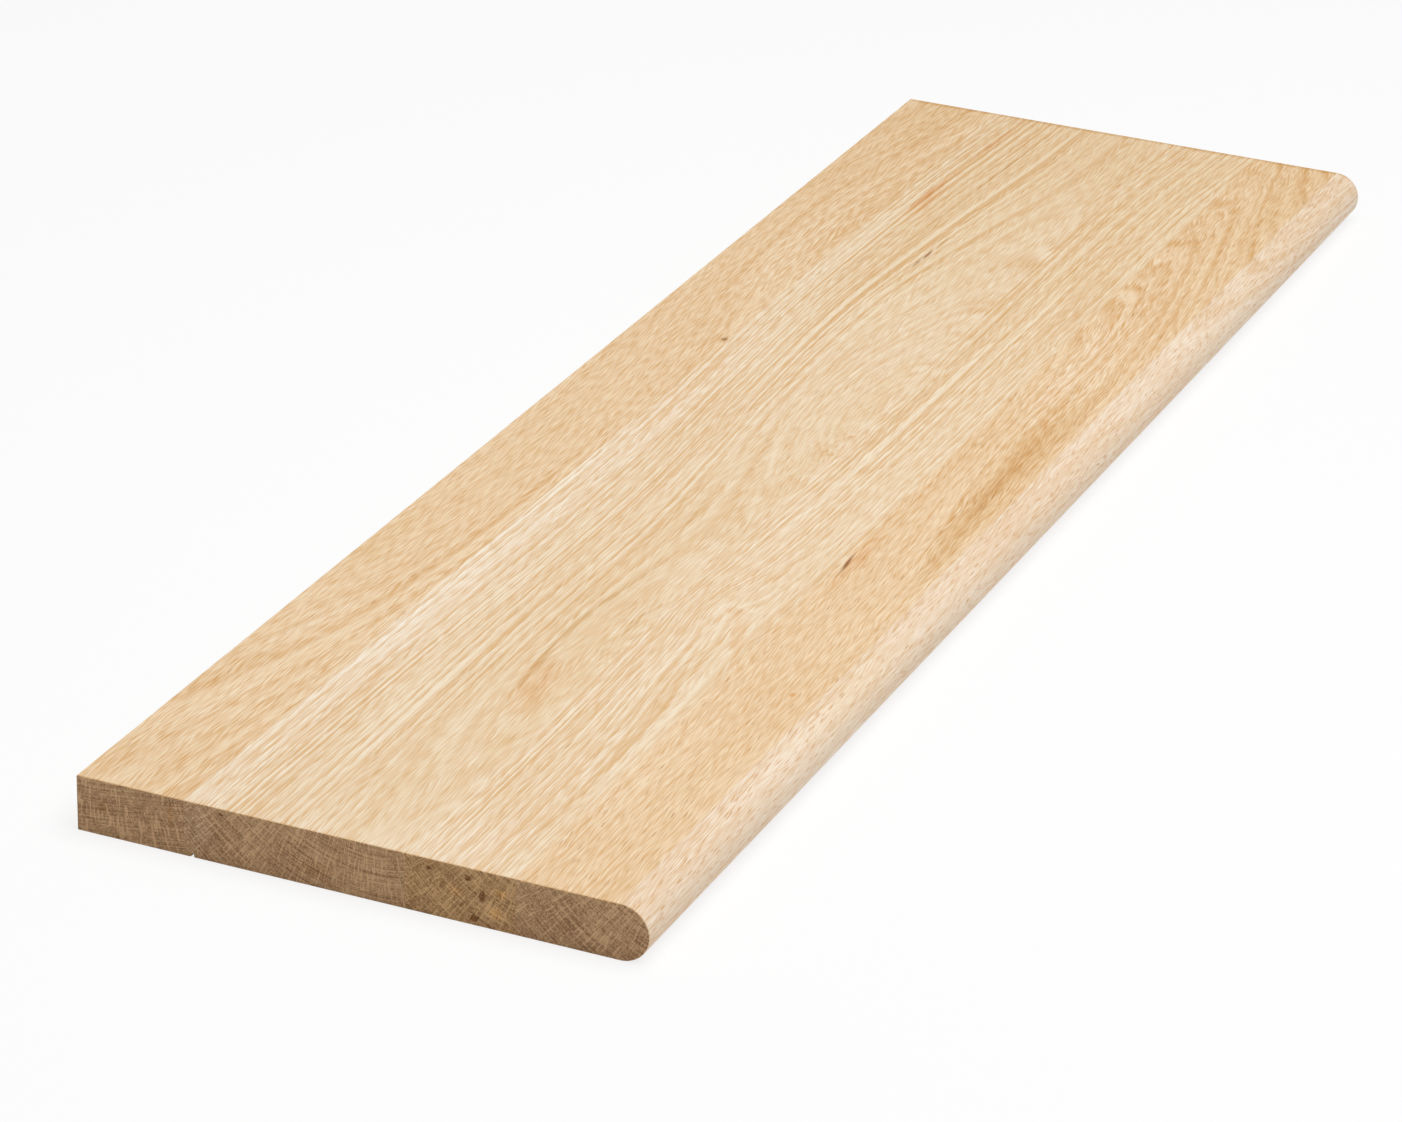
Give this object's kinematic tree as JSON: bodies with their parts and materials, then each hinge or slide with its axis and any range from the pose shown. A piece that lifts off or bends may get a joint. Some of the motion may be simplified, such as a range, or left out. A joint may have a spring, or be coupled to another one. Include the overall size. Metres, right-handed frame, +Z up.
{
  "type": "stair tread",
  "caption": "Solid oak stair tread of full-length edge-glued staves with a full-round bullnose front edge; forms one step of a staircase.",
  "frame": {"origin": "middle of the underside's outline, on the surface that the tread rests on", "axes": "+X along the tread, +Y from the rounded nose to the square back edge, +Z up out of the walking face"},
  "size_m": [0.9144, 0.2603, 0.0254],
  "materials": {
    "back_oak": "sanded bare oak, no stain or varnish",
    "wide_oak": "sanded bare oak, no stain or varnish",
    "narrow_oak": "sanded bare oak, no stain or varnish",
    "nosing_oak": "sanded bare oak, no stain or varnish"
  },
  "bodies": {
    "root": {"back_stave": "back_oak", "wide_stave": "wide_oak", "narrow_stave": "narrow_oak", "nosing_stave": "nosing_oak"}
  },
  "joints": []
}
